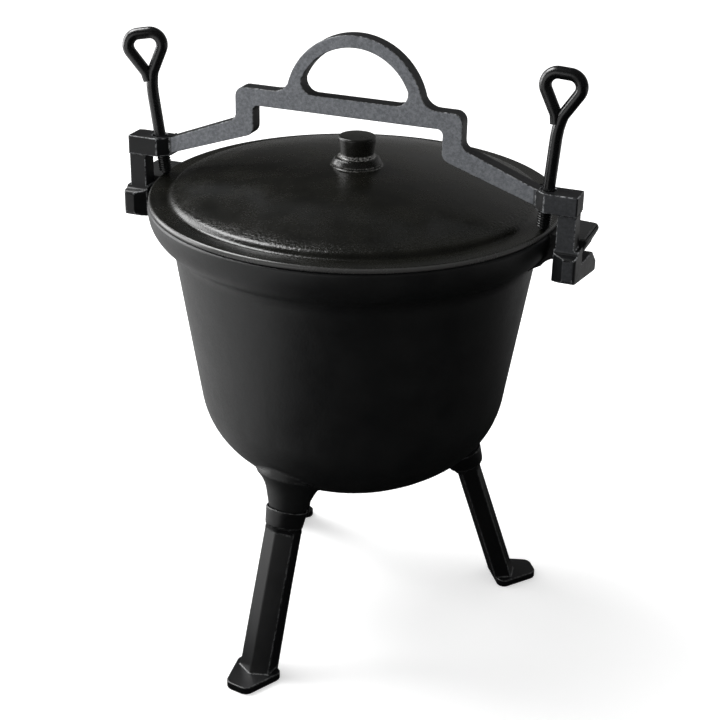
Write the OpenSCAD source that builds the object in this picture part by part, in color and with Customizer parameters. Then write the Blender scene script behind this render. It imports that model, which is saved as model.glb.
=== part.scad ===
// Campfire kettle: a cast pot on three screwed-on legs, with a domed lid held
// down by a cast clamp yoke and two eye screws. Millimetres, +Z up.
// The origin is on the ground, on the axis of the pot.

/* [Pot] */
// Outside radius of the pot at its rim
rim_r = 150; // [140:1:165]
// Height of the rim above the ground
rim_z = 339; // [325:1:355]
// Thickness of the pot's wall
pot_wall = 5; // [4:0.5:6]
// Radius of the bulge of the collar under the rim
collar_r = 26; // [22:1:30]
// Radius of the hollow crease under the collar
crease_r = 16; // [12:1:20]
// Taper of the pot's side, in degrees
side_taper = 8.7; // [6:0.1:11]
// Depth below the rim at which the straight side ends
side_end = 150; // [135:1:160]
// Radius of the turn from the side to the bottom
belly_r = 67; // [60:1:75]

/* [Ears] */
// How far an ear stands out from the rim
ear_l = 25; // [22:0.5:28]
// Reach of an ear towards the yoke's side
ear_front = 15.5; // [14:0.5:18]
// Reach of an ear away from the yoke's side
ear_back = 23; // [16:0.5:24]
// Thickness of an ear
ear_t = 17; // [14:0.5:18]

/* [Lid] */
// Thickness of the lid's flat rim
flange_t = 3.7; // [3:0.1:5]
// Rise of the dome above its own edge
dome_rise = 17.2; // [14:0.2:24]
// Radius of the dome's edge
dome_edge_r = 130; // [124:1:132]
// Wall of the dome
lid_wall = 4.5; // [3.5:0.5:5]
// Depth of the lip that keeps the lid in the pot
lip_h = 7; // [5:0.5:10]

/* [Knob] */
// Height of the knob
knob_h = 21.3; // [17:0.1:24]
// Radius of the knob at its top
knob_top_r = 13.7; // [12:0.1:16]
// Radius of the knob at its neck
knob_neck_r = 11.9; // [10:0.1:13]
// Radius of the knob's foot
knob_foot_r = 17.8; // [17:0.1:20]

/* [Clamp yoke] */
// Thickness of the yoke's plate
yoke_t = 12.2; // [11:0.2:14]
// Height of the top bar's lower edge above the rim
bar_z = 65.8; // [62:0.2:74]
// Depth of the top bar's face
bar_h = 12.4; // [11:0.2:16]
// Half width of the step, at its outside
step_x = 85; // [78:0.2:90]
// Width of the step's upright
step_w = 13.9; // [11:0.1:16]
// Outer radius of the handle's arch
arch_r = 51.6; // [46:0.1:55]
// Width of the handle's bar
arch_w = 8.6; // [7:0.1:11]
// Offset of the handle from the middle of the bar
arch_shift = 5.6; // [0:0.1:7]
// Height of the arm's lower edge at the step, above the rim
arm_z = 44.6; // [43:0.1:48]
// Height of the arm's top at the step, above its lower edge
arm_h = 9.7; // [8:0.1:12]
// Height of the arm's face at the end block
arm_end_h = 11.6; // [8:0.2:13]
// Height of the end blocks' lower face above the rim
block_z = 19.7; // [17:0.1:21]
// Height of the end blocks
block_h = 13.7; // [12:0.1:16]
// Depth of the end blocks from front to back
block_d = 18.5; // [16:0.5:22]
// Width of the hook's upright
hook_w = 13; // [11:0.5:15]
// Depth of the hook's upright from front to back
hook_d = 13; // [11:0.5:15]
// Reach of the hook's foot in front of its upright
toe_l = 6.5; // [4:0.5:9]
// Reach of the hook's foot behind its upright, under the ear
heel_l = 46; // [38:1:52]
// Width of the hook's foot
foot_w = 17.3; // [14:0.1:18]

/* [Eye screws] */
// Diameter of the screw over its thread
thread_d = 10; // [9:0.1:11]
// Pitch of the thread
thread_pitch = 1.75; // [1.25:0.05:2]
// Length of the thread
thread_l = 28; // [26:1:34]
// Diameter of the rod that the screw is bent from
rod_d = 8.5; // [7.6:0.1:9]
// Outward lean of the left screw, in degrees
lean_left = 8.2; // [0:0.1:8.5]
// Outward lean of the right screw, in degrees
lean_right = 4; // [0:0.1:8.5]
// Length of the left screw's shank, from its tip to the eye
shank_left = 76; // [70:0.5:84]
// Length of the right screw's shank, from its tip to the eye
shank_right = 81; // [70:0.5:84]
// Height of an eye, from its join to the middle of the rod's top
eye_h = 28; // [26:0.5:36]
// Width of an eye over the rod
eye_w = 33; // [31:0.2:38]
// Turn of the left eye about its screw at rest, in degrees
eye_turn_left = 20; // [-45:1:45]
// Turn of the right eye about its screw at rest, in degrees
eye_turn_right = 2; // [-45:1:45]

/* [Legs] */
// Distance of a leg's cup from the pot's axis
cup_reach = 89.5; // [84:0.5:97]
// Outward lean of the legs, in degrees
leg_lean = 18.3; // [15:0.1:21]
// Height of the rim above the middle of a leg's cup
cup_drop = 215; // [208:1:222]
// Outside radius of the cup
cup_r = 15.6; // [15:0.1:18]
// Turn of the front leg about the pot's axis, in degrees
turn_front = -100; // [-110:0.5:-80]
// Turn of the right leg about the pot's axis, in degrees
turn_right = 35; // [10:0.5:45]
// Turn of the back leg about the pot's axis, in degrees
turn_back = 135; // [125:0.5:150]
// Width of a leg
leg_w = 25.5; // [22:0.5:29]
// Height of the roof-shaped outer side of a leg
leg_roof = 5.2; // [3:0.1:7]
// Depth of a leg, from inside to outside
leg_d = 17.8; // [15:0.5:20]
// Thickness of the foot plate
plate_t = 6; // [5:0.5:8]
// Length of the foot plate, from its back edge to its tip
plate_l = 35; // [32:1:44]
// Width of the foot plate at its back edge
plate_w = 41; // [36:1:46]

/* [Fasteners] */
// Diameter of the stud that joins a leg to the pot
stud_d = 10; // [8:0.5:11]
// Length of the stud
stud_l = 34; // [30:1:38]
// Diameter of the screw that holds the knob
knob_screw_d = 6; // [5:0.5:7]
// Diameter of that screw's head
screw_head_d = 12; // [10:0.5:14]

/* [Hidden] */
$fn = 96;

// Clearances
seam_gap = 0.3;     // under the lid's rim, and round the lid's lip
seat_gap = 0.3;     // between two castings that bear on each other
thread_gap = 0.5;   // round an eye screw in its tapped hole
stud_gap = 0.08;    // round a stud or screw in its tapped hole
tip_gap = 0.45;     // under an eye screw's tip

// Pot
rim_edge_r = 2;
collar_drop = 4;
collar_turn = 52;
collar_flat = 2.5;
belly_turn = 52;
arc_steps = 10;

function arc_pts(c, r, a0, a1, n = arc_steps) =
    [for (i = [0:n]) let(a = a0 + (a1 - a0) * i / n) c + r * [cos(a), sin(a)]];
function dir(a) = [cos(a), sin(a)];

// The pot's outline from the rim down to the axis, set in by w from the outside.
// Heights are counted from the rim.
collar_c = [rim_r - collar_r, -collar_drop];
crease_start = collar_c + collar_r * dir(-collar_turn) + collar_flat * dir(-90 - collar_turn);
crease_c = crease_start + crease_r * dir(-collar_turn);
side_start = crease_c + crease_r * dir(180 - side_taper);
side_foot = [side_start[0] - (side_start[1] + side_end) * tan(side_taper), -side_end];
belly_c = side_foot - belly_r * dir(-side_taper);
belly_foot = belly_c + belly_r * dir(-belly_turn);
bowl_r = belly_foot[0] / cos(belly_turn);
bowl_c = [0, belly_foot[1] + bowl_r * sin(belly_turn)];

function pot_side(w) = concat(
    arc_pts(collar_c, collar_r - w, 0, -collar_turn),
    arc_pts(crease_c, crease_r + w, 180 - collar_turn, 180 - side_taper),
    arc_pts(belly_c, belly_r - w, -side_taper, -belly_turn),
    arc_pts(bowl_c, bowl_r - w, -belly_turn, -90));

// Lid
lid_r = rim_r - 0.6;
lid_z = rim_z + seam_gap;
lid_edge_r = 2.2;
shoulder_r = 6;
shoulder_turn = 60;
dome_foot_r = 3.5;
lip_w = 4;
lip_r = rim_r - pot_wall - seam_gap - 1;
boss_r = knob_foot_r + 0.8;
boss_h = 0.5;
dome_r = (dome_edge_r * dome_edge_r + dome_rise * dome_rise) / (2 * dome_rise);
dome_lean = asin(dome_edge_r / dome_r);
dome_edge_z = flange_t + dome_foot_r * (1 - cos(shoulder_turn))
    + shoulder_r * (cos(dome_lean) - cos(shoulder_turn));
dome_c = [0, dome_edge_z + dome_rise - dome_r];
dome_top = dome_c[1] + dome_r;
boss_top = dome_top + boss_h;
shoulder_c = [dome_edge_r, dome_edge_z] - shoulder_r * dir(90 - dome_lean);
dome_foot_c = shoulder_c + (shoulder_r + dome_foot_r) * dir(90 - shoulder_turn);
head_seat_r = screw_head_d / 2 + 2;
head_seat_z = dome_top - lid_wall - 1;

// Knob
knob_z = lid_z + boss_top;
knob_foot_h = 5.2;
knob_cove_h = 1.8;
knob_foot_slope = 1.7;
knob_edge_r = 1.6;
knob_hole_l = 13;
knob_screw_l = boss_top - head_seat_z + knob_hole_l - 2;
screw_head_h = 3.4;
slot_w = 1.6;
slot_depth = 1.5;

ear_reach = rim_r + ear_l;

// Clamp yoke, in the plane of its plate. Heights are counted from the rim.
hook_back = -ear_front - seat_gap;
hook_front = hook_back - hook_d;
block_front = hook_front - 1;
proud_h = 7;        // of a block's front face before the arm's
bore_wall = 1.1;    // beside a tapped hole, at the block's inner end
yoke_y = block_front + proud_h + yoke_t / 2;
tip_in = 5.4;       // of a screw's tip from the rim's edge
tip_x = rim_r - tip_in;
block_in = tip_x - thread_d / 2 - thread_gap - bore_wall;
proud_in = tip_x + 1.9;
block_inset = 5.2;  // of a block's end from the ear's
block_out = ear_reach - block_inset;
hook_x = block_out - hook_w - 0.3;
screw_y = yoke_y - 2;
bar_top = bar_z + bar_h;
arch_z = bar_z + 6;
arch_fillet = 12;
finger_fillet = 9;
flare_lap = 0.3;     // by which a fillet runs into the arch
arm_end_z = block_z + 1.3;
hook_top_z = -ear_t - seat_gap;
toe_z = -7;
toe_foot_z = -26.5;
heel_z = -31;
heel_foot_z = -38;
foot_out = block_out + 3;
foot_taper = 8.5;
toe_chamfer = 8.5;
step_fillet = 7;
window_fillet = 4;
corner_fillet = 2.5;
block_edge = 1.5;
foot_edge = 4;

// Eye screws
tip_z = rim_z + seam_gap + flange_t + tip_gap;
thread_depth = thread_pitch * 0.55;
tip_r = thread_d / 2 - 1.8;
tip_h = 3;
eye_bend = 8.5;
eye_lap = 1.8;
bend_step = 0.15;

// Legs
cup_z = rim_z - cup_drop;
stance_r = cup_reach + cup_z * tan(leg_lean);
cup_h = 13;
cup_wall = 1.3;
cup_depth = 3;
cup_draft = 1.6;     // by which the cup is narrower at its foot
cup_step = 0.9;      // from the cup's foot in to the neck
cup_neck = 5;        // from the cup down to the leg's full section
lap = 0.5;           // by which joined forms run into each other
stub_r = cup_r - cup_wall - seat_gap - 0.2;
stub_flare_r = 26;
stub_flare_turn = 55;
stub_taper = 18;
stub_neck = 12;
leg_shift = 1.5;
ridge_w = 1.6;
leg_draft = 0.6;
leg_turns = [turn_front, turn_right, turn_back];
leg_foot_l = cup_z / cos(leg_lean);
plate_in = stance_r + leg_shift - leg_d / 2 - 1;
plate_tip_w = 19;
plate_tip_r = 7;
plate_corner_r = 6;
stud_edge = 1;

// A ring of points with each corner turned round by its own radius
function unit(v) = v / norm(v);
function rounded(p, r, n = 6) = [for (i = [0:len(p) - 1])
    let(q = p[i], a = unit(p[(i + len(p) - 1) % len(p)] - q), b = unit(p[(i + 1) % len(p)] - q),
        half = acos(a * b) / 2, c = q + unit(a + b) * r[i] / sin(half),
        s = q + a * r[i] / tan(half), e = q + b * r[i] / tan(half),
        a0 = atan2(s[1] - c[1], s[0] - c[0]), a1 = atan2(e[1] - c[1], e[0] - c[0]),
        turn = ((a1 - a0 + 540) % 360) - 180)
    each (r[i] > 0 ? [for (k = [0:n]) c + r[i] * dir(a0 + turn * k / n)] : [q])];

module at_leg(i) {
    rotate([0, 0, leg_turns[i]])
        translate([cup_reach, 0, cup_z])
            rotate([0, -leg_lean, 0])
                children();
}

module pot_outside() {
    rotate_extrude()
        polygon(concat([[0, 0]], arc_pts([rim_r - rim_edge_r, -rim_edge_r], rim_edge_r, 90, 0, 4),
                       pot_side(0)));
}

module pot_inside() {
    rotate_extrude()
        polygon(concat([[0, 1], [rim_r - pot_wall, 1]], pot_side(pot_wall)));
}

module ear() {
    root = rim_r - 18;
    gusset = 14;
    outline = concat(
        [[root, 0], [ear_reach - 2, 0]], arc_pts([ear_reach - 3, -3], 3, 60, 0, 3),
        [[ear_reach - 5, -ear_t + 4]], arc_pts([ear_reach - 9, -ear_t + 4], 4, -20, -90, 3),
        arc_pts([rim_r + 6, -ear_t - gusset], gusset, 90, 150, 6), [[root, -ear_t - gusset + 1]]);
    translate([0, ear_back, 0])
        rotate([90, 0, 0])
            linear_extrude(ear_front + ear_back)
                polygon(outline);
}

module ear_plan() {
    corner = 7;
    linear_extrude(4 * ear_t, center = true)
        polygon(rounded([[0, -ear_front], [ear_reach + 1, -ear_front], [ear_reach + 1, ear_back],
                         [0, ear_back]],
                        [0, corner, corner, 0]));
}

module leg_stub() {
    start = -cup_depth + seat_gap;
    neck_r = stub_r + stub_neck * tan(stub_taper);
    flare_c = [neck_r, stub_neck] + stub_flare_r * dir(-stub_taper);
    rotate_extrude()
        polygon(concat([[0, start], [stub_r - 1, start], [stub_r, start + 1], [stub_r, 0]],
                       arc_pts(flare_c, stub_flare_r, 180 - stub_taper, 180 - stub_flare_turn, 6),
                       [[stub_r + 10, stub_neck + 40], [0, stub_neck + 40]]));
}

// One casting: bowl, collar, two ears and three leg stubs
module pot() {
    color([0.09, 0.09, 0.09])
        difference() {
            union() {
                translate([0, 0, rim_z])
                    pot_outside();
                for (side = [0, 1])
                    translate([0, 0, rim_z])
                        mirror([side, 0, 0])
                            intersection() {
                                ear();
                                ear_plan();
                            }
                for (i = [0:2])
                    at_leg(i)
                        leg_stub();
            }
            translate([0, 0, rim_z])
                pot_inside();
            for (i = [0:2])
                at_leg(i)
                    translate([0, 0, -cup_depth])
                        cylinder(h = cup_depth + stud_l / 2, r = stud_d / 2 + stud_gap);
        }
}

// Domed lid with a flat rim, a locating lip and a raised seat for the knob
module lid() {
    hole_r = knob_screw_d / 2 + 0.3;
    inner_r = dome_r - lid_wall;
    inner_lean = asin((dome_edge_r - 3) / inner_r);
    seat_lean = asin(head_seat_r / inner_r);
    boss_lean = asin(boss_r / dome_r);
    color([0.11, 0.11, 0.11])
        translate([0, 0, lid_z])
            rotate_extrude()
                polygon(concat(
                    [[hole_r, boss_top], [boss_r - 0.4, boss_top]],
                    arc_pts(dome_c, dome_r, 90 - boss_lean, 90 - dome_lean, 16),
                    arc_pts(shoulder_c, shoulder_r, 90 - dome_lean, 90 - shoulder_turn, 5),
                    arc_pts(dome_foot_c, dome_foot_r, -90 - shoulder_turn, -90, 4),
                    arc_pts([lid_r - lid_edge_r, flange_t - lid_edge_r], lid_edge_r, 90, 0, 4),
                    [[lid_r, 0.6], [lid_r - 0.6, 0], [lip_r, 0], [lip_r - 0.6, -lip_h],
                     [lip_r - lip_w, -lip_h], [lip_r - lip_w, 0], [lip_r - lip_w - 2.5, 0]],
                    arc_pts(dome_c, inner_r, 90 - inner_lean, 90 - seat_lean, 14),
                    [[head_seat_r, head_seat_z], [hole_r, head_seat_z]]));
}

// Turned knob with a coved foot, wider at its top than at its neck
module lid_knob() {
    cove_z = knob_foot_h + knob_cove_h;
    hole_r = knob_screw_d / 2 + stud_gap;
    color([0.1, 0.1, 0.1])
        translate([0, 0, knob_z])
            rotate_extrude()
                polygon(concat(
                    [[hole_r, 0], [knob_foot_r - 0.5, 0], [knob_foot_r, 0.5], [knob_foot_r, 0.3 * knob_foot_h],
                     [knob_foot_r - knob_foot_slope, knob_foot_h - 0.8],
                     [knob_foot_r - knob_foot_slope - 0.9, knob_foot_h],
                     [knob_neck_r + 1.2, knob_foot_h + 0.4], [knob_neck_r, cove_z]],
                    arc_pts([knob_top_r - knob_edge_r, knob_h - knob_edge_r - 0.6], knob_edge_r, -8, 80, 5),
                    [[0, knob_h], [0, knob_hole_l], [hole_r, knob_hole_l]]));
}

// Slotted screw that holds the knob from inside the lid
module knob_screw() {
    head_r = screw_head_d / 2;
    color([0.55, 0.55, 0.55])
        translate([0, 0, lid_z + head_seat_z - screw_head_h])
            difference() {
                rotate_extrude()
                    polygon(concat([[0, 0], [head_r - 2, 0]], arc_pts([head_r - 2, 2], 2, -90, 0, 4),
                                   [[head_r, screw_head_h], [knob_screw_d / 2, screw_head_h],
                                    [knob_screw_d / 2, screw_head_h + knob_screw_l - 1],
                                    [knob_screw_d / 2 - 1, screw_head_h + knob_screw_l],
                                    [0, screw_head_h + knob_screw_l]]));
                translate([-head_r - 1, -slot_w / 2, -1])
                    cube([screw_head_d + 2, slot_w, slot_depth + 1]);
            }
}

// Half of the yoke's plate, from the middle of the bar to the end block
module yoke_half() {
    inner_x = step_x - step_w;
    arm_end_x = block_in + block_edge + 1;
    translate([0, yoke_t / 2, 0])
        rotate([90, 0, 0])
            linear_extrude(yoke_t)
                polygon(rounded(
                    [[0, bar_z], [inner_x, bar_z], [inner_x, arm_z], [arm_end_x, arm_end_z],
                     [arm_end_x, arm_end_z + arm_end_h], [step_x, arm_z + arm_h],
                     [step_x, bar_top], [0, bar_top]],
                    [0, window_fillet, step_fillet, 0, 0, step_fillet - 1, step_fillet, 0]));
}

// The fillet between the arch, of radius r, and the bar's top, which lies h above its middle
module arch_flare(r, h, fillet) {
    reach = r + fillet - sign(fillet) * flare_lap;
    c = [sqrt(reach * reach - pow(h + abs(fillet), 2)), h + abs(fillet)];
    end = fillet > 0 ? atan2(-c[1], -c[0]) : atan2(c[1], c[0]);
    polygon(concat(arc_pts(c, abs(fillet), -90, end, 6), [[r - sign(fillet) * 3, h - 2]]));
}

// The handle's arch, rounded into the bar inside and out
module yoke_arch() {
    h = bar_top - arch_z;
    translate([arch_shift, yoke_t / 2, arch_z])
        rotate([90, 0, 0])
            linear_extrude(yoke_t) {
                difference() {
                    circle(r = arch_r);
                    circle(r = arch_r - arch_w);
                    translate([-2 * arch_r, h - 1 - 4 * arch_r])
                        square(4 * arch_r);
                }
                for (side = [0, 1])
                    mirror([side, 0]) {
                        arch_flare(arch_r, h, arch_fillet);
                        arch_flare(arch_r - arch_w, h, -finger_fillet);
                    }
            }
}

// End block of one side: the part round the screw, and the part that stands proud over the hook
module yoke_block() {
    back = block_front + block_d;
    translate([0, 0, block_z])
        linear_extrude(block_h)
            polygon(rounded(
                [[proud_in, block_front], [block_out, block_front], [block_out, back], [block_in, back],
                 [block_in, block_front + proud_h + 1]],
                [0, block_edge, block_edge, block_edge, 0], 3));
}

// Upright and foot of one side: the foot reaches forward, and back under the ear
module yoke_hook() {
    top = block_z + 1;
    toe_y = hook_front - toe_l;
    heel_y = hook_back + heel_l;
    intersection() {
        rotate([90, 0, 90])
            linear_extrude(foot_out)
                polygon(rounded(
                    [[hook_front, top], [hook_front, toe_z], [toe_y, toe_z - 1.5], [toe_y, toe_foot_z],
                     [heel_y, heel_foot_z], [heel_y - 1, heel_z], [ear_front, hook_top_z - 2],
                     [hook_back, hook_top_z], [hook_back, top]],
                    [0, corner_fillet, corner_fillet, foot_edge, 3, 2.5, 0, 0, 0], 4));
        union() {
            translate([hook_x, hook_front - 1, toe_z - 12])
                cube([hook_w, hook_d + 2, top - toe_z + 14]);
            translate([foot_out - foot_w, toe_y, heel_foot_z - 1])
                linear_extrude(toe_z + 3 - heel_foot_z)
                    polygon(rounded([[0, toe_l - 1], [toe_chamfer, 0], [foot_w, 0], [foot_w, heel_y - toe_y],
                                     [foot_taper, heel_y - toe_y], [0, hook_back - toe_y]],
                                    [0, 1.5, foot_edge - 1, 3, 3, 0], 4));
        }
    }
}

// One casting: handle arch, stepped bar, end blocks and hooks
module clamp_yoke() {
    color([0.08, 0.08, 0.08])
        difference() {
            translate([0, 0, rim_z]) {
                for (side = [0, 1])
                    mirror([side, 0, 0]) {
                        translate([0, yoke_y, 0])
                            yoke_half();
                        yoke_block();
                        yoke_hook();
                    }
                translate([0, yoke_y, 0])
                    yoke_arch();
            }
            for (side = [-1, 1])
                at_screw(side)
                    cylinder(h = 2 * block_z + block_h, r = thread_d / 2 + thread_gap);
        }
}

// A straight piece of rod between two points of the eye's plane
module rod(a, b) {
    d = b - a;
    translate([a[0], 0, a[1]])
        rotate([0, atan2(d[0], d[1]), 0])
            cylinder(h = norm(d), r = rod_d / 2);
}

// A bend of the rod about a point of the eye's plane, let into the straight rods at its ends
module rod_bend(c, a0, a1) {
    translate([c[0], 0, c[1]])
        rotate([90, 0, 0])
            rotate([0, 0, a0])
                rotate_extrude(angle = a1 - a0)
                    translate([eye_bend, 0])
                        circle(r = rod_d / 2 - bend_step);
}

// The bent eye: a flat top with two round corners, drawn in to the shank
module screw_eye(eye_base) {
    corner = [(eye_w - rod_d) / 2 - eye_bend, eye_base + eye_h - eye_bend];
    foot = [rod_d / 2 - eye_lap, eye_base];
    reach = foot - corner;
    leave = atan2(reach[1], reach[0]) + acos(eye_bend / norm(reach));
    touch = corner + eye_bend * dir(leave);
    lap = 0.6 * (touch - foot) / norm(touch - foot);
    for (side = [0, 1])
        mirror([side, 0, 0]) {
            rod(foot, touch + lap);
            rod_bend(corner, leave, 90);
        }
    rod([-corner[0] - 0.6, corner[1] + eye_bend], [corner[0] + 0.6, corner[1] + eye_bend]);
    for (side = [-1, 1])
        translate([side * foot[0], 0, foot[1]])
            sphere(r = rod_d / 2 + bend_step);
}

module eye_screw(turn, eye_base) {
    crest = thread_d / 2;
    core = crest - thread_depth;
    turns = floor((thread_l - tip_h) / thread_pitch);
    thread_top = tip_h + turns * thread_pitch;
    color([0.1, 0.1, 0.1])
        rotate([0, 0, turn]) {
            rotate_extrude()
                polygon(concat(
                    [[0, 0], [tip_r, 0], [core, tip_h]],
                    [for (i = [0:turns - 1]) let(z = tip_h + i * thread_pitch)
                        each [[core, z + 0.1 * thread_pitch], [crest, z + 0.45 * thread_pitch],
                              [crest, z + 0.6 * thread_pitch], [core, z + 0.95 * thread_pitch]]],
                    [[core, thread_top], [rod_d / 2, thread_top + 1], [rod_d / 2, eye_base],
                     [0, eye_base]]));
            screw_eye(eye_base);
        }
}

module at_screw(side) {
    translate([side * tip_x, screw_y, tip_z])
        rotate([0, side < 0 ? -lean_left : lean_right, 0])
            children();
}

module left_eye_screw() {
    at_screw(-1)
        eye_screw(eye_turn_left, shank_left);
}

module right_eye_screw() {
    at_screw(1)
        eye_screw(eye_turn_right, shank_right);
}

// Section of a leg, with its ridge outward, as points outward and across
function leg_section() = [
    [leg_d / 2, -ridge_w / 2], [leg_d / 2, ridge_w / 2], [leg_d / 2 - leg_roof, leg_w / 2],
    [-leg_d / 2, leg_w / 2 - leg_draft], [-leg_d / 2, -leg_w / 2 + leg_draft],
    [leg_d / 2 - leg_roof, -leg_w / 2]];

// A cast leg: cup, bar with a ridge along its outer side, and a pointed foot plate
module leg(i) {
    color([0.08, 0.08, 0.08])
        difference() {
            union() {
                at_leg(i) {
                    translate([0, 0, -cup_h])
                        cylinder(h = cup_h, r1 = cup_r - cup_draft, r2 = cup_r);
                    hull() {
                        translate([0, 0, -cup_h - lap])
                            cylinder(h = 2 * lap, r = cup_r - cup_draft - cup_step, $fn = 32);
                        translate([leg_shift, 0, -cup_h - cup_neck])
                            linear_extrude(2 * lap)
                                polygon(leg_section());
                    }
                    translate([leg_shift, 0, -leg_foot_l - leg_d])
                        linear_extrude(leg_foot_l + leg_d - cup_h - cup_neck + 2 * lap)
                            polygon(leg_section());
                }
                rotate([0, 0, leg_turns[i]])
                    linear_extrude(plate_t)
                        polygon(rounded(
                            [[plate_in, -plate_w / 2], [plate_in + plate_l, -plate_tip_w / 2],
                             [plate_in + plate_l, plate_tip_w / 2], [plate_in, plate_w / 2]],
                            [plate_corner_r, plate_tip_r, plate_tip_r, plate_corner_r], 5));
            }
            at_leg(i)
                translate([0, 0, -cup_depth])
                    cylinder(h = cup_depth + 2 * lap, r = cup_r - cup_wall);
            at_leg(i)
                translate([0, 0, -cup_depth - stud_l / 2])
                    cylinder(h = stud_l / 2 + 2 * lap, r = stud_d / 2 + stud_gap);
            translate([0, 0, -leg_foot_l])
                cylinder(h = leg_foot_l, r = 2 * stance_r);
        }
}

module leg_front() {
    leg(0);
}

module leg_right() {
    leg(1);
}

module leg_back() {
    leg(2);
}

// Plain stud that joins a leg to its stub
module leg_stud(i) {
    color([0.5, 0.5, 0.5])
        at_leg(i)
            translate([0, 0, -cup_depth - stud_l / 2 + stud_edge])
                rotate_extrude()
                    polygon([[0, 0], [stud_d / 2 - stud_edge, 0], [stud_d / 2, stud_edge],
                             [stud_d / 2, stud_l - 3 * stud_edge],
                             [stud_d / 2 - stud_edge, stud_l - 2 * stud_edge],
                             [0, stud_l - 2 * stud_edge]]);
}

module leg_stud_front() {
    leg_stud(0);
}

module leg_stud_right() {
    leg_stud(1);
}

module leg_stud_back() {
    leg_stud(2);
}

pot();
lid();
lid_knob();
knob_screw();
clamp_yoke();
left_eye_screw();
right_eye_screw();
leg_front();
leg_right();
leg_back();
leg_stud_front();
leg_stud_right();
leg_stud_back();
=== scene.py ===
import logging
import math
from dataclasses import dataclass
from enum import Enum

import bmesh
import bpy
from mathutils import Matrix, Vector

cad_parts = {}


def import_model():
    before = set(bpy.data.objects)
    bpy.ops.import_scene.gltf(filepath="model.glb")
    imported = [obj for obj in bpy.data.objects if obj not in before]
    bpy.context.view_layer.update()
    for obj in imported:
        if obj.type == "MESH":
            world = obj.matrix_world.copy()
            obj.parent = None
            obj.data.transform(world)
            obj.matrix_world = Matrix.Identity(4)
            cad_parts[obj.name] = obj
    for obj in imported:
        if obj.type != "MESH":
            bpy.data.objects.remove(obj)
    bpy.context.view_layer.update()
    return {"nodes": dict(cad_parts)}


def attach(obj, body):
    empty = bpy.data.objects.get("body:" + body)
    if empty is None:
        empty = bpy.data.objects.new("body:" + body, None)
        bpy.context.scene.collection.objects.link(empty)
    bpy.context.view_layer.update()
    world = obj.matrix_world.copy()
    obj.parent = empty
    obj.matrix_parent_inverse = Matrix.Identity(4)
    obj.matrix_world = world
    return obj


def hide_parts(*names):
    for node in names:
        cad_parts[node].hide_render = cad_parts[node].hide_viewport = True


MM = 0.001
log = logging.getLogger("kettle")

Socket = bpy.types.NodeSocket
Tree = bpy.types.NodeTree


def linear(hex_colour: str) -> tuple[float, float, float, float]:
    """Turns an sRGB colour into the linear values that a shader takes.

    Args:
        hex_colour: The colour as it is seen, such as "#1c1c18".

    Returns:
        Red, green, blue and alpha, with alpha 1.
    """
    parts = [int(hex_colour[i:i + 2], 16) / 255 for i in (1, 3, 5)]
    r, g, b = [p / 12.92 if p <= 0.04045 else ((p + 0.055) / 1.055) ** 2.4 for p in parts]
    return (r, g, b, 1.0)


def add_node(tree: Tree, kind: str, settings: dict | None = None,
             inputs: dict | None = None) -> bpy.types.Node:
    """Adds a node with its settings, values and links.

    Args:
        tree: The tree that the node goes into.
        kind: The node's type.
        settings: Properties of the node by name.
        inputs: Values or output sockets, by the name or number of the input.

    Returns:
        The new node.
    """
    node = tree.nodes.new(kind)
    for name, value in (settings or {}).items():
        setattr(node, name, value)
    for key, value in (inputs or {}).items():
        if isinstance(value, Socket):
            tree.links.new(value, node.inputs[key])
        else:
            node.inputs[key].default_value = value
    return node


class Body(Enum):
    """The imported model's bodies, which the pieces ride on."""

    POT = "pot"
    LID = "lid"
    YOKE = "clamp_yoke"
    LEFT_SCREW = "left_eye_screw"
    RIGHT_SCREW = "right_eye_screw"


class Slot(Enum):
    """The material slots, by name."""

    POT = "seasoned_iron"
    LID = "lid_iron"
    YOKE = "yoke_iron"
    ROD = "forged_rod"
    LEG = "leg_iron"
    STEEL = "steel"


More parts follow.
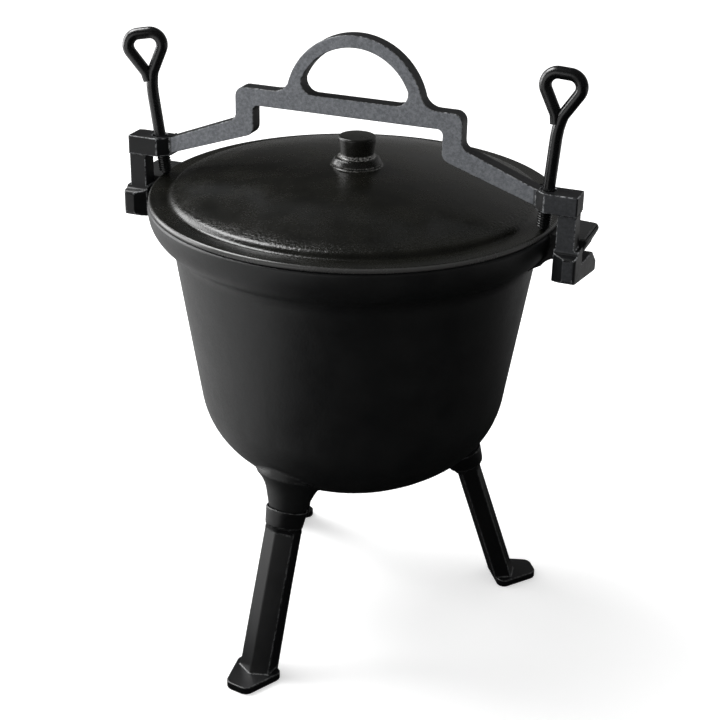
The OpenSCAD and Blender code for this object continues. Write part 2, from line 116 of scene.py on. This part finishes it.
@dataclass(frozen=True)
class IronFinish:
    """The skin of one casting: colour, mottling, grain, lighter broken edges (partly wearing,
    partly a painted highlight) and gloss.
    """

    name: str
    colour: str
    tone: str
    worn_and_glint: str
    roughness: tuple[float, float] = (0.42, 0.6)
    specular: float = 0.35
    mottle_mm: float = 28.0
    grain_mm: float = 1.8
    grain_depth_mm: float = 0.05
    swell_depth_mm: float = 0.25
    wear_and_glint: float = 0.6

    def surface(self, tree: Tree) -> tuple[Socket, Socket, Socket]:
        """Builds what all castings share.

        Args:
            tree: The material's tree.

        Returns:
            The sockets of colour, roughness and height.
        """
        place = add_node(tree, "ShaderNodeTexCoord").outputs["Object"]
        mottle = add_node(tree, "ShaderNodeTexNoise", inputs={
            "Vector": place, "Scale": 1 / (self.mottle_mm * MM), "Detail": 5.0, "Roughness": 0.62})
        grain = add_node(tree, "ShaderNodeTexNoise", inputs={
            "Vector": place, "Scale": 1 / (self.grain_mm * MM), "Detail": 3.0, "Roughness": 0.7})
        spread = add_node(tree, "ShaderNodeMapRange", inputs={
            "Value": mottle.outputs["Fac"], "From Min": 0.35, "From Max": 0.68})
        colour = add_node(tree, "ShaderNodeMix", {"data_type": "RGBA"}, {
            0: spread.outputs["Result"], 6: linear(self.colour), 7: linear(self.tone)})
        speck = add_node(tree, "ShaderNodeMapRange", inputs={
            "Value": grain.outputs["Fac"], "From Min": 0.42, "From Max": 0.62})
        # The bevel's faces take the lighter edge colour: partly wearing of the iron, partly a
        # painted highlight along the edges.
        edge = add_node(tree, "ShaderNodeAttribute", {"attribute_name": "edge"})
        rubbed_and_glint = add_node(tree, "ShaderNodeMath", {"operation": "MULTIPLY"}, {
            0: edge.outputs["Fac"], 1: speck.outputs["Result"]})
        rubbed_and_glint = add_node(tree, "ShaderNodeMath", {"operation": "MULTIPLY"}, {
            0: rubbed_and_glint.outputs[0], 1: self.wear_and_glint})
        colour = add_node(tree, "ShaderNodeMix", {"data_type": "RGBA"}, {
            0: rubbed_and_glint.outputs[0], 6: colour.outputs[2], 7: linear(self.worn_and_glint)})
        uneven = add_node(tree, "ShaderNodeMix", {"data_type": "FLOAT"}, {
            0: 0.35, 2: spread.outputs["Result"], 3: speck.outputs["Result"]})
        rough = add_node(tree, "ShaderNodeMapRange", inputs={
            "Value": uneven.outputs[0], "To Min": self.roughness[0], "To Max": self.roughness[1]})
        sand = add_node(tree, "ShaderNodeMath", {"operation": "MULTIPLY"}, {
            0: grain.outputs["Fac"], 1: self.grain_depth_mm * MM})
        swell = add_node(tree, "ShaderNodeMath", {"operation": "MULTIPLY_ADD"}, {
            0: mottle.outputs["Fac"], 1: self.swell_depth_mm * MM, 2: sand.outputs[0]})
        return colour.outputs[2], rough.outputs["Result"], swell.outputs[0]

    def material(self) -> bpy.types.Material:
        """Makes the material, named for the real one."""
        material = bpy.data.materials.new(self.name)
        material.use_nodes = True
        tree = material.node_tree
        tree.nodes.clear()
        colour, rough, height = self.surface(tree)
        bump = add_node(tree, "ShaderNodeBump", inputs={
            "Strength": 1.0, "Distance": 1.0, "Height": height})
        shader = add_node(tree, "ShaderNodeBsdfPrincipled", inputs={
            "Base Color": colour, "Roughness": rough, "Normal": bump.outputs["Normal"],
            "Specular IOR Level": self.specular})
        add_node(tree, "ShaderNodeOutputMaterial", inputs={"Surface": shader.outputs["BSDF"]})
        return material


@dataclass(frozen=True)
class RimmedFinish(IronFinish):
    """The lid's skin: its rim's outer edge is lighter, partly bare ground iron and partly a
    painted reflection of the floor, and its shoulder is coarser.
    """

    rim_wear_and_reflection: str = "#464645"
    rim_from_mm: float = 147.8
    rim_to_mm: float = 148.8
    coarse_at_mm: float = 127.0
    coarse_half_mm: float = 13.0
    coarse_grain_mm: float = 2.0
    coarse_depth_mm: float = 0.42

    def surface(self, tree: Tree) -> tuple[Socket, Socket, Socket]:
        """Adds the lighter edge, partly bare ground iron and partly a painted reflection, and the
        coarse shoulder to what all castings share.
        """
        colour, rough, height = super().surface(tree)
        place = add_node(tree, "ShaderNodeTexCoord").outputs["Object"]
        flat = add_node(tree, "ShaderNodeVectorMath", {"operation": "MULTIPLY"}, {
            0: place, 1: (1.0, 1.0, 0.0)})
        radius = add_node(tree, "ShaderNodeVectorMath", {"operation": "LENGTH"}, {
            0: flat.outputs["Vector"]})
        # The rim's outer band turns lighter: partly bare ground iron, partly a painted reflection
        # of the pale floor.
        ring = add_node(tree, "ShaderNodeMapRange", inputs={
            "Value": radius.outputs["Value"], "From Min": self.rim_from_mm * MM,
            "From Max": self.rim_to_mm * MM})
        colour = add_node(tree, "ShaderNodeMix", {"data_type": "RGBA"}, {
            0: ring.outputs["Result"], 6: colour, 7: linear(self.rim_wear_and_reflection)}).outputs[2]
        off = add_node(tree, "ShaderNodeMath", {"operation": "SUBTRACT"}, {
            0: radius.outputs["Value"], 1: self.coarse_at_mm * MM})
        off = add_node(tree, "ShaderNodeMath", {"operation": "ABSOLUTE"}, {0: off.outputs[0]})
        coarse = add_node(tree, "ShaderNodeMapRange", {"interpolation_type": "SMOOTHSTEP"}, {
            "Value": off.outputs[0], "From Min": 0.0, "From Max": self.coarse_half_mm * MM,
            "To Min": self.coarse_depth_mm * MM, "To Max": 0.0})
        sand = add_node(tree, "ShaderNodeTexNoise", inputs={
            "Vector": place, "Scale": 1 / (self.coarse_grain_mm * MM), "Detail": 3.0})
        height = add_node(tree, "ShaderNodeMath", {"operation": "MULTIPLY_ADD"}, {
            0: sand.outputs["Fac"], 1: coarse.outputs["Result"], 2: height}).outputs[0]
        return colour, rough, height


@dataclass(frozen=True)
class ScaleAndSheenFinish(IronFinish):
    """The yoke's skin: grey on its broad faces, partly scale and partly a painted reflection of
    the floor, a faint painted light on the right block, else black.
    """

    face_colour: str = "#92959a"
    face_tone: str = "#6f7277"
    face_grain_mm: float = 2.2
    face_end_mm: float = 137.0
    right_block_painted_light: float = 0.2
    facing: tuple[float, float] = (0.8, 0.95)

    def surface(self, tree: Tree) -> tuple[Socket, Socket, Socket]:
        """Adds the grey faces, partly a painted reflection, to what all castings share."""
        colour, rough, height = super().surface(tree)
        coords = add_node(tree, "ShaderNodeTexCoord")
        normal = add_node(tree, "ShaderNodeSeparateXYZ", inputs={0: coords.outputs["Normal"]})
        # Faces that face front or back turn grey: partly scale, partly a painted reflection of the
        # pale floor in front.
        facing = add_node(tree, "ShaderNodeMath", {"operation": "ABSOLUTE"}, {
            0: normal.outputs["Y"]})
        broad = add_node(tree, "ShaderNodeMapRange", inputs={
            "Value": facing.outputs[0], "From Min": self.facing[0], "From Max": self.facing[1]})
        place = add_node(tree, "ShaderNodeSeparateXYZ", inputs={0: coords.outputs["Object"]})
        out = add_node(tree, "ShaderNodeMath", {"operation": "ABSOLUTE"}, {
            0: place.outputs["X"]})
        inside = add_node(tree, "ShaderNodeMapRange", inputs={
            "Value": out.outputs[0], "From Min": self.face_end_mm * MM,
            "From Max": (self.face_end_mm + 1.5) * MM, "To Min": 1.0, "To Max": 0.0})
        # The right block gets a faint share of the grey: painted light where the lamps leave it
        # darker.
        right = add_node(tree, "ShaderNodeMapRange", inputs={
            "Value": place.outputs["X"], "From Min": 0.0, "From Max": self.face_end_mm * MM,
            "To Max": self.right_block_painted_light})
        share = add_node(tree, "ShaderNodeMath", {"operation": "MAXIMUM"}, {
            0: inside.outputs["Result"], 1: right.outputs["Result"]})
        mask = add_node(tree, "ShaderNodeMath", {"operation": "MULTIPLY"}, {
            0: broad.outputs["Result"], 1: share.outputs[0]})
        scale = add_node(tree, "ShaderNodeTexNoise", inputs={
            "Vector": coords.outputs["Object"], "Scale": 1 / (self.face_grain_mm * MM),
            "Detail": 4.0, "Roughness": 0.75})
        patch = add_node(tree, "ShaderNodeMapRange", inputs={
            "Value": scale.outputs["Fac"], "From Min": 0.38, "From Max": 0.64})
        grey = add_node(tree, "ShaderNodeMix", {"data_type": "RGBA"}, {
            0: patch.outputs["Result"], 6: linear(self.face_tone), 7: linear(self.face_colour)})
        colour = add_node(tree, "ShaderNodeMix", {"data_type": "RGBA"}, {
            0: mask.outputs[0], 6: colour, 7: grey.outputs[2]}).outputs[2]
        return colour, rough, height


# Cast iron with burnt-in oil: matt black, a little lighter where the sand's grain shows
POT_IRON = IronFinish("seasoned_cast_iron", "#141516", "#1c1d1d", "#464747",
                      roughness=(0.38, 0.52), specular=0.7, grain_depth_mm=0.06)
# The lid was oiled last: a brown-black film with a soft sheen
LID_IRON = RimmedFinish("oiled_cast_iron", "#0d0d0a", "#14140f", "#6d6d6a",
                        roughness=(0.2, 0.32), specular=0.7, grain_mm=1.4, grain_depth_mm=0.06)
# The knob is handled most, so its edges are abraded to bare iron; their bright colour is partly a
# painted highlight
KNOB_IRON = IronFinish("handled_iron_painted_glint", "#141411", "#1f1f1b", "#a4a3a0",
                       roughness=(0.24, 0.4), specular=1.0, grain_mm=1.2, grain_depth_mm=0.1,
                       wear_and_glint=0.9)
# The yoke's front and back faces are grey, partly casting scale and partly a painted reflection of
# the pale floor; its other faces are oiled black, with lighter broken edges that are partly a
# painted highlight
YOKE_IRON = ScaleAndSheenFinish("scale_and_painted_sheen_iron", "#0b0c0d", "#151618", "#9a9c9e",
                        roughness=(0.36, 0.52), specular=0.5, grain_mm=2.2, grain_depth_mm=0.1,
                        wear_and_glint=0.9)
# Bent round bar with black forge scale: smooth, with narrow highlights
ROD_STEEL = IronFinish("forged_black_bar", "#08090a", "#101112", "#2c2d2e",
                       roughness=(0.2, 0.32), specular=1.0, grain_depth_mm=0.02,
                       swell_depth_mm=0.08)
# The legs are castings with black stove enamel, thin on the ridges, whose lighter colour is partly
# a painted highlight
LEG_IRON = IronFinish("stove_black_iron", "#08080a", "#0e0f10", "#6d6f6f",
                      roughness=(0.3, 0.4), specular=0.85, grain_depth_mm=0.025)
# Plain steel fasteners, blackened by the fire
FASTENER_STEEL = IronFinish("blackened_steel", "#151515", "#1e1e1e", "#4a4a4a",
                            roughness=(0.35, 0.5), grain_depth_mm=0.01, swell_depth_mm=0.02)


@dataclass
class Casting:
    """One cast or turned piece: the CAD node's own form with its sharp edges broken."""

    node: str
    body: Body
    slot: Slot
    material: bpy.types.Material
    edge_mm: float = 0.8
    edge_angle: float = 32.0
    segments: int = 2

    def merged(self, source: bpy.types.Object) -> bpy.types.Mesh:
        """Copies the node's loose triangles as one closed surface.

        Args:
            source: The CAD node.

        Returns:
            A mesh with its doubles merged and its flat faces made whole.
        """
        mesh = source.data.copy()
        mesh.name = self.node + "_dressed"
        form = bmesh.new()
        form.from_mesh(mesh)
        bmesh.ops.remove_doubles(form, verts=form.verts, dist=0.002 * MM)
        bmesh.ops.dissolve_limit(form, angle_limit=math.radians(0.15), verts=form.verts,
                                 edges=form.edges, use_dissolve_boundaries=False)
        form.to_mesh(mesh)
        form.free()
        if "custom_normal" in mesh.attributes:
            mesh.attributes.remove(mesh.attributes["custom_normal"])
        return mesh

    def build(self, source: bpy.types.Object) -> bpy.types.Object:
        """Args:
            source: The CAD node that it stands for.

        Returns:
            The finished piece.
        """
        mesh = self.merged(source)
        mesh.materials.clear()
        mesh.materials.append(self.material)
        mesh.materials.append(self.material)
        for face in mesh.polygons:
            face.material_index = 0
        piece = bpy.data.objects.new(self.node + "_dressed", mesh)
        bpy.context.scene.collection.objects.link(piece)
        mesh.shade_smooth()
        bevel = piece.modifiers.new("broken_edges", "BEVEL")
        bevel.width = self.edge_mm * MM
        bevel.segments = self.segments
        bevel.limit_method = "ANGLE"
        bevel.angle_limit = math.radians(self.edge_angle)
        bevel.use_clamp_overlap = False
        bevel.material = 1
        weigh = piece.modifiers.new("even_shading", "WEIGHTED_NORMAL")
        weigh.keep_sharp = True
        finish_piece(piece, mark_edges=True)
        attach(piece, self.body.value)
        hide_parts(self.node)
        return piece


def finish_piece(piece: bpy.types.Object, mark_edges: bool) -> None:
    """Applies a piece's modifiers, and notes which faces are broken edges.

    Args:
        piece: The piece, with live modifiers.
        mark_edges: Whether faces of the second material slot are edges.
    """
    graph = bpy.context.evaluated_depsgraph_get()
    mesh = bpy.data.meshes.new_from_object(piece.evaluated_get(graph), depsgraph=graph)
    piece.modifiers.clear()
    piece.data = mesh
    values = [1.0 if mark_edges and face.material_index == 1 else 0.0 for face in mesh.polygons]
    edge = mesh.attributes.new("edge", "FLOAT", "FACE")
    edge.data.foreach_set("value", values)
    for face in mesh.polygons:
        face.material_index = 0
    while len(mesh.materials) > 1:
        mesh.materials.pop()


@dataclass
class ClampScrew:
    """A screw bent from round bar: threaded at the foot, with a three-sided eye at the top."""

    side: int
    body: Body
    material: bpy.types.Material
    lean: float
    turn: float
    shank: float
    tip: tuple[float, float, float]
    rod_d: float = 8.5
    thread_d: float = 10.0
    thread_depth: float = 1.0
    thread_pitch: float = 1.75
    thread_l: float = 28.0
    tip_h: float = 2.5
    tip_r: float = 2.5
    eye_h: float = 28.0
    eye_w: float = 33.0
    bend_r: float = 8.5
    neck_lap: float = 1.8
    bend_points: int = 18

    def path(self) -> list[tuple[float, float, float]]:
        """Follows the bar's middle line from the thread, round the eye, to its end at the neck.

        Returns:
            Points in millimetres, with the screw's tip at the origin and its axis up.
        """
        corner = Vector(((self.eye_w - self.rod_d) / 2 - self.bend_r,
                         self.shank + self.eye_h - self.bend_r))
        foot = Vector((self.rod_d / 2 - self.neck_lap, self.shank))
        reach = foot - corner
        leave = math.atan2(reach.y, reach.x) + math.acos(self.bend_r / reach.length)
        turned = [leave + (math.pi / 2 - leave) * i / self.bend_points
                  for i in range(self.bend_points + 1)]
        bend = [corner + self.bend_r * Vector((math.cos(a), math.sin(a))) for a in turned]
        rise = [Vector((0, self.thread_l - 1)), Vector((0, self.shank - 16))]
        ease = [Vector((foot.x * t * t, self.shank - 16 * (1 - t))) for t in (0.4, 0.7, 0.88, 1.0)]
        back = [Vector((-p.x, p.y)) for p in reversed(bend)]
        end = [Vector((-foot.x, self.shank)), Vector((-foot.x * 0.55, self.shank - 6))]
        return [(p.x, 0.0, p.y) for p in rise + ease + bend + back + end]

    def tree(self) -> Tree:
        """Builds the node tree that sweeps the bar and winds the thread on its foot."""
        tree = bpy.data.node_groups.new("clamp_screw", "GeometryNodeTree")
        tree.interface.new_socket("Geometry", in_out="INPUT", socket_type="NodeSocketGeometry")
        tree.interface.new_socket("Geometry", in_out="OUTPUT", socket_type="NodeSocketGeometry")
        for name in ("Bar radius", "Core radius", "Crest radius", "Pitch", "Thread start",
                     "Thread length", "Tip radius"):
            tree.interface.new_socket(name, in_out="INPUT", socket_type="NodeSocketFloat")
        tree.interface.new_socket("Finish", in_out="INPUT", socket_type="NodeSocketMaterial")
        given = add_node(tree, "NodeGroupInput").outputs
        ring = add_node(tree, "GeometryNodeCurvePrimitiveCircle", inputs={
            "Resolution": 28, "Radius": given["Bar radius"]})
        bar = add_node(tree, "GeometryNodeCurveToMesh", inputs={
            "Curve": given["Geometry"], "Profile Curve": ring.outputs["Curve"],
            "Fill Caps": True})
        foot = add_node(tree, "ShaderNodeCombineXYZ", inputs={"Z": given["Thread start"]})
        top_z = add_node(tree, "ShaderNodeMath", {"operation": "ADD"}, {
            0: given["Thread start"], 1: given["Thread length"]})
        top = add_node(tree, "ShaderNodeCombineXYZ", inputs={"Z": top_z.outputs[0]})
        line = add_node(tree, "GeometryNodeCurvePrimitiveLine", inputs={
            "Start": foot.outputs[0], "End": top.outputs[0]})
        core_ring = add_node(tree, "GeometryNodeCurvePrimitiveCircle", inputs={
            "Resolution": 28, "Radius": given["Core radius"]})
        core = add_node(tree, "GeometryNodeCurveToMesh", inputs={
            "Curve": line.outputs["Curve"], "Profile Curve": core_ring.outputs["Curve"],
            "Fill Caps": True})
        point = add_node(tree, "GeometryNodeMeshCone", inputs={
            "Vertices": 28, "Radius Top": given["Core radius"],
            "Radius Bottom": given["Tip radius"], "Depth": given["Thread start"]})
        turns = add_node(tree, "ShaderNodeMath", {"operation": "DIVIDE"}, {
            0: given["Thread length"], 1: given["Pitch"]})
        helix = add_node(tree, "GeometryNodeCurveSpiral", inputs={
            "Resolution": 26, "Rotations": turns.outputs[0],
            "Start Radius": given["Core radius"], "End Radius": given["Core radius"],
            "Height": given["Thread length"]})
        upright = add_node(tree, "GeometryNodeSetCurveNormal", {"mode": "Z_UP"}, {
            "Curve": helix.outputs["Curve"]})
        height = add_node(tree, "ShaderNodeMath", {"operation": "SUBTRACT"}, {
            0: given["Crest radius"], 1: given["Core radius"]})
        wire = add_node(tree, "GeometryNodeCurvePrimitiveCircle", inputs={
            "Resolution": 6, "Radius": height.outputs[0]})
        flatten = add_node(tree, "GeometryNodeTransform", inputs={
            "Geometry": wire.outputs["Curve"], "Scale": (1.0, 0.62, 1.0)})
        thread = add_node(tree, "GeometryNodeCurveToMesh", inputs={
            "Curve": upright.outputs["Curve"], "Profile Curve": flatten.outputs["Geometry"],
            "Fill Caps": True})
        lift = add_node(tree, "GeometryNodeTransform", inputs={
            "Geometry": thread.outputs["Mesh"], "Translation": foot.outputs[0]})
        whole = add_node(tree, "GeometryNodeJoinGeometry")
        for part in (lift.outputs["Geometry"], point.outputs["Mesh"], core.outputs["Mesh"],
                     bar.outputs["Mesh"]):
            tree.links.new(part, whole.inputs[0])
        smooth = add_node(tree, "GeometryNodeSetShadeSmooth", inputs={
            "Geometry": whole.outputs[0]})
        real = add_node(tree, "GeometryNodeRealizeInstances", inputs={
            "Geometry": smooth.outputs[0]})
        dressed = add_node(tree, "GeometryNodeSetMaterial", inputs={
            "Geometry": real.outputs[0], "Material": given["Finish"]})
        add_node(tree, "NodeGroupOutput", inputs={"Geometry": dressed.outputs[0]})
        return tree

    def build(self) -> bpy.types.Object:
        """Returns:
            The finished piece.
        """
        points = self.path()
        curve = bpy.data.curves.new("bar_line", "CURVE")
        curve.dimensions = "3D"
        spline = curve.splines.new("POLY")
        spline.points.add(len(points) - 1)
        for knot, place in zip(spline.points, points):
            knot.co = (*[c * MM for c in place], 1.0)
        guide = bpy.data.objects.new("bar_line", curve)
        bpy.context.scene.collection.objects.link(guide)
        screw = guide.modifiers.new("clamp_screw", "NODES")
        screw.node_group = self.tree()
        core = self.thread_d / 2 - self.thread_depth
        sizes = {
            "Bar radius": self.rod_d / 2 * MM, "Core radius": core * MM,
            "Crest radius": self.thread_d / 2 * MM, "Pitch": self.thread_pitch * MM,
            "Thread start": self.tip_h * MM, "Thread length": (self.thread_l - self.tip_h) * MM,
            "Tip radius": self.tip_r * MM, "Finish": self.material}
        for socket in screw.node_group.interface.items_tree:
            if socket.name in sizes:
                screw[socket.identifier] = sizes[socket.name]
        graph = bpy.context.evaluated_depsgraph_get()
        mesh = bpy.data.meshes.new_from_object(guide.evaluated_get(graph), depsgraph=graph)
        bpy.data.objects.remove(guide)
        place = (Matrix.Translation(Vector(self.tip) * MM)
                 @ Matrix.Rotation(math.radians(self.lean), 4, "Y")
                 @ Matrix.Rotation(math.radians(self.turn), 4, "Z"))
        mesh.transform(place)
        mesh.attributes.new("edge", "FLOAT", "FACE")
        name = self.body.value + "_dressed"
        piece = bpy.data.objects.new(name, mesh)
        bpy.context.scene.collection.objects.link(piece)
        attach(piece, self.body.value)
        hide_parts(self.body.value)
        return piece


@dataclass
class Studio:
    """The pale floor, with painted shade in what it reflects and near the kettle, the soft lamps
    and the white surroundings.
    """

    floor_half: float = 6.0
    floor_colour: str = "#e9e9e9"
    floor_painted_shade: str = "#141414"
    floor_lit: float = 0.5
    glow_near_painted_shade: float = 0.4
    glow_far: float = 0.72
    glow_reach: tuple[float, float] = (0.15, 0.45)
    ambient: float = 0.6
    reflected_least: float = 0.02
    reflected_left: float = 0.35
    reflected_back: float = 0.22
    left: tuple[float, float, float] = (-1.0, 0.0, 0.0)
    back: tuple[float, float, float] = (0.3, 0.95, 0.0)
    key_watts: float = 16.5
    key_size: tuple[float, float] = (1.2, 1.0)
    key_place: tuple[float, float, float] = (-1.5, -0.1, 0.6)
    top_watts: float = 18.0
    top_size: tuple[float, float] = (0.8, 0.8)
    top_place: tuple[float, float, float] = (-0.88, 0.02, 1.42)
    fill_watts: float = 2.0
    fill_size: tuple[float, float] = (1.2, 0.9)
    fill_place: tuple[float, float, float] = (-0.55, -1.5, 0.55)
    target: tuple[float, float, float] = (0.0, 0.0, 0.25)

    def floor(self) -> bpy.types.Object:
        """Lays the floor, which keeps the shadow and shows white to the camera; to other rays it
        is painted dark away from the left and the back, and its glow is painted dimmer near the
        kettle.
        """
        half = self.floor_half
        mesh = bpy.data.meshes.new("studio_floor")
        mesh.from_pydata([(-half, -half, 0), (half, -half, 0), (half, half, 0), (-half, half, 0)],
                         [], [(0, 1, 2, 3)])
        material = bpy.data.materials.new("studio_paper")
        material.use_nodes = True
        tree = material.node_tree
        tree.nodes.clear()
        ray = add_node(tree, "ShaderNodeLightPath")
        place = add_node(tree, "ShaderNodeTexCoord").outputs["Object"]
        # To rays other than the camera's, the paper is painted dark except towards the left and
        # the back: painted shade in its reflections and bounce light.
        shown = ray.outputs["Is Camera Ray"]
        for side, first, last in ((self.left, 0.05, 0.3), (self.back, 0.3, 0.9)):
            towards = add_node(tree, "ShaderNodeVectorMath", {"operation": "DOT_PRODUCT"}, {
                0: place, 1: side})
            lit = add_node(tree, "ShaderNodeMapRange", {"interpolation_type": "SMOOTHSTEP"}, {
                "Value": towards.outputs["Value"], "From Min": first, "From Max": last,
                "To Max": self.floor_lit})
            shown = add_node(tree, "ShaderNodeMath", {"operation": "MAXIMUM"}, {
                0: lit.outputs["Result"], 1: shown}).outputs[0]
        tone = add_node(tree, "ShaderNodeMix", {"data_type": "RGBA"}, {
            0: shown, 6: linear(self.floor_painted_shade), 7: linear(self.floor_colour)})
        paper = add_node(tree, "ShaderNodeBsdfDiffuse", inputs={"Color": tone.outputs[2]})
        # The camera's glow is painted lower near the kettle: painted shade that deepens the shadow
        # around it.
        away = add_node(tree, "ShaderNodeVectorMath", {"operation": "LENGTH"}, {0: place})
        near, far = self.glow_reach
        level = add_node(tree, "ShaderNodeMapRange", {"interpolation_type": "SMOOTHSTEP"}, {
            "Value": away.outputs["Value"], "From Min": near, "From Max": far,
            "To Min": self.glow_near_painted_shade, "To Max": self.glow_far})
        seen = add_node(tree, "ShaderNodeMath", {"operation": "MULTIPLY"}, {
            0: ray.outputs["Is Camera Ray"], 1: level.outputs["Result"]})
        glow = add_node(tree, "ShaderNodeEmission", inputs={
            "Color": (1.0, 1.0, 1.0, 1.0), "Strength": seen.outputs[0]})
        both = add_node(tree, "ShaderNodeAddShader", inputs={
            0: paper.outputs[0], 1: glow.outputs[0]})
        add_node(tree, "ShaderNodeOutputMaterial", inputs={"Surface": both.outputs[0]})
        mesh.materials.append(material)
        floor = bpy.data.objects.new("studio_floor", mesh)
        bpy.context.scene.collection.objects.link(floor)
        return floor

    def surroundings(self) -> None:
        """Makes the world: white behind the object for the camera, dim towards the front."""
        world = bpy.data.worlds.new("studio")
        bpy.context.scene.world = world
        world.use_nodes = True
        tree = world.node_tree
        tree.nodes.clear()
        way = add_node(tree, "ShaderNodeTexCoord").outputs["Generated"]
        gloss = self.reflected_least
        for side, first, last, gain in ((self.left, 0.7, 1.0, self.reflected_left),
                                        (self.back, 0.6, 1.0, self.reflected_back)):
            towards = add_node(tree, "ShaderNodeVectorMath", {"operation": "DOT_PRODUCT"}, {
                0: way, 1: side})
            near = add_node(tree, "ShaderNodeMapRange", {"interpolation_type": "SMOOTHSTEP"}, {
                "Value": towards.outputs["Value"], "From Min": first, "From Max": last})
            gloss = add_node(tree, "ShaderNodeMath", {"operation": "MULTIPLY_ADD"}, {
                0: near.outputs["Result"], 1: gain, 2: gloss}).outputs[0]
        ray = add_node(tree, "ShaderNodeLightPath")
        level = add_node(tree, "ShaderNodeMix", {"data_type": "FLOAT"}, {
            0: ray.outputs["Is Glossy Ray"], 2: self.ambient, 3: gloss})
        level = add_node(tree, "ShaderNodeMix", {"data_type": "FLOAT"}, {
            0: ray.outputs["Is Camera Ray"], 2: level.outputs[0], 3: 1.0})
        shade = add_node(tree, "ShaderNodeBackground", inputs={
            "Color": (1.0, 1.0, 1.0, 1.0), "Strength": level.outputs[0]})
        add_node(tree, "ShaderNodeOutputWorld", inputs={"Surface": shade.outputs[0]})

    def lamp(self, name: str, place: tuple[float, float, float], size: tuple[float, float],
             watts: float) -> None:
        """Hangs one soft box that faces the kettle.

        Args:
            name: The lamp's name.
            place: Where it hangs, in metres.
            size: Its width and height, in metres.
            watts: Its power.
        """
        data = bpy.data.lights.new(name, "AREA")
        data.shape = "RECTANGLE"
        data.size, data.size_y = size
        data.energy = watts
        lamp = bpy.data.objects.new(name, data)
        lamp.location = place
        lamp.rotation_mode = "QUATERNION"
        lamp.rotation_quaternion = (Vector(self.target) - Vector(place)).to_track_quat("-Z", "Y")
        bpy.context.scene.collection.objects.link(lamp)

    def build(self) -> None:
        """Sets up the floor, the surroundings and the lamps."""
        self.floor()
        self.surroundings()
        self.lamp("key_box", self.key_place, self.key_size, self.key_watts)
        self.lamp("top_box", self.top_place, self.top_size, self.top_watts)
        self.lamp("fill_box", self.fill_place, self.fill_size, self.fill_watts)
        bpy.context.scene.view_settings.view_transform = "Standard"


@dataclass
class Viewpoint:
    """The camera, at the photograph's viewing angle."""

    place: tuple[float, float, float] = (0.39064, -0.98447, 0.70487)
    azimuth: float = 21.37
    elevation: float = 25.06
    roll: float = 1.13
    lens: float = 76.99
    sensor: float = 36.0

    def build(self) -> None:
        """Makes the camera and sets it as the scene's."""
        a, e, r = (math.radians(v) for v in (self.azimuth, self.elevation, self.roll))
        back = Vector((math.sin(a) * math.cos(e), -math.cos(a) * math.cos(e), math.sin(e)))
        level = Vector((math.cos(a), math.sin(a), 0.0))
        up = back.cross(level)
        right = level * math.cos(r) + up * math.sin(r)
        top = up * math.cos(r) - level * math.sin(r)
        data = bpy.data.cameras.new("photo_view")
        data.lens, data.sensor_width = self.lens, self.sensor
        camera = bpy.data.objects.new("photo_view", data)
        turn = Matrix((right, top, back)).transposed().to_4x4()
        camera.matrix_world = Matrix.Translation(Vector(self.place)) @ turn
        bpy.context.scene.collection.objects.link(camera)
        bpy.context.scene.camera = camera


class Kettle:
    """The dressed kettle: pot with legs, lid with knob, and the clamp with its two screws."""

    def __init__(self, nodes: dict[str, bpy.types.Object]) -> None:
        """Makes the finishes once for all pieces."""
        self.nodes = nodes
        pot, lid, knob, yoke, rod, leg, steel = (finish.material() for finish in (
            POT_IRON, LID_IRON, KNOB_IRON, YOKE_IRON, ROD_STEEL, LEG_IRON, FASTENER_STEEL))
        self.castings = [
            Casting("pot", Body.POT, Slot.POT, pot, edge_mm=1.2),
            Casting("lid", Body.LID, Slot.LID, lid, edge_mm=0.6),
            Casting("lid_knob", Body.LID, Slot.LID, knob, edge_mm=0.8),
            Casting("knob_screw", Body.LID, Slot.STEEL, steel, edge_mm=0.3),
            Casting("clamp_yoke", Body.YOKE, Slot.YOKE, yoke, edge_mm=0.7),
        ]
        for name in ("front", "right", "back"):
            self.castings.append(Casting(f"leg_{name}", Body.POT, Slot.LEG, leg, edge_mm=0.8))
            self.castings.append(
                Casting(f"leg_stud_{name}", Body.POT, Slot.STEEL, steel, edge_mm=0.4))
        self.screws = [
            ClampScrew(-1, Body.LEFT_SCREW, rod, lean=-8.2, turn=20.0, shank=76.0,
                       tip=(-144.6, -18.7, 343.45)),
            ClampScrew(1, Body.RIGHT_SCREW, rod, lean=4.0, turn=2.0, shank=81.0,
                       tip=(144.6, -18.7, 343.45)),
        ]

    def build(self) -> list[bpy.types.Object]:
        """Builds every piece and reports it.

        Returns:
            The finished pieces.
        """
        pieces = [casting.build(self.nodes[casting.node]) for casting in self.castings]
        pieces += [screw.build() for screw in self.screws]
        for piece in pieces:
            log.info("%s: %d faces", piece.name, len(piece.data.polygons))
        return pieces


def main() -> None:
    """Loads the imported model, dresses it and sets up the studio."""
    logging.basicConfig(level=logging.INFO, format="%(message)s")
    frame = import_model()
    Viewpoint().build()
    Studio().build()
    Kettle(frame["nodes"]).build()


if __name__ == "__main__":
    main()
